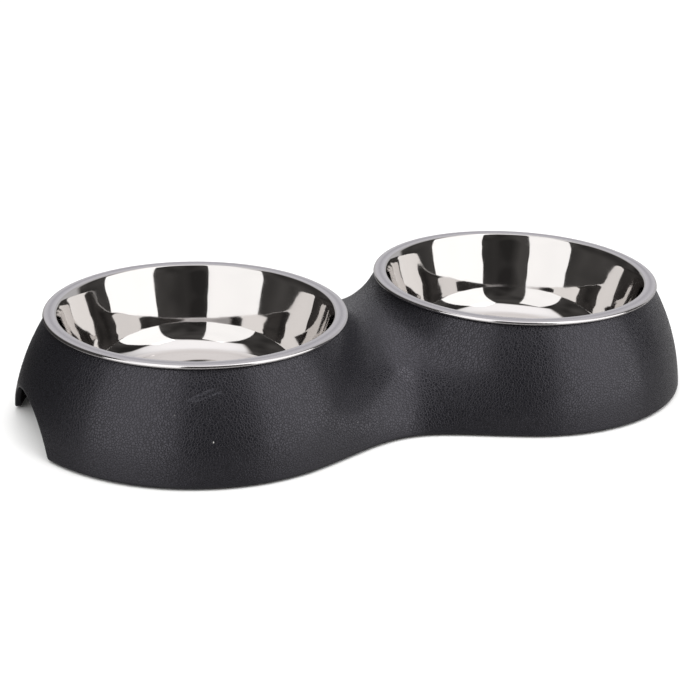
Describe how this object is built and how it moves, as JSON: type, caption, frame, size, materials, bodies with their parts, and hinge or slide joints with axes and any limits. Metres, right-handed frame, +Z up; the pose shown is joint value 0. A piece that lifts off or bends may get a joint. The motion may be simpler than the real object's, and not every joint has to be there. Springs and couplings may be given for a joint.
{
  "type": "double pet bowl",
  "caption": "Double feeding bowl for pets: round steel bowls drop into a black moulded stand with a waist, a low valley between the bowls, arched finger notches and rubber feet.",
  "frame": {"origin": "on the floor, under the middle of the stand, halfway between the two bowls", "axes": "+X along the length, from the left bowl to the right bowl; +Z up; the front faces -Y"},
  "size_m": [0.352, 0.1822, 0.0553],
  "materials": {
    "stand": "moulded melamine, black, fine leather grain, satin",
    "steel": "pressed stainless steel, mirror polished inside, satin lip",
    "feet": "soft black rubber, matt"
  },
  "bodies": {
    "base": {"stand": "stand", "foot_left_front": "feet", "foot_left_back": "feet", "foot_middle_front": "feet", "foot_middle_back": "feet", "foot_right_front": "feet", "foot_right_back": "feet"},
    "left_bowl": {"bowl_left": "steel"},
    "right_bowl": {"bowl_right": "steel"}
  },
  "joints": [
    {"name": "left_bowl_lift", "type": "slide", "parent": "base", "child": "left_bowl", "axis": [0, 0, 1], "range_m": [0, 0.06]},
    {"name": "right_bowl_lift", "type": "slide", "parent": "base", "child": "right_bowl", "axis": [0, 0, 1], "range_m": [0, 0.06]}
  ]
}
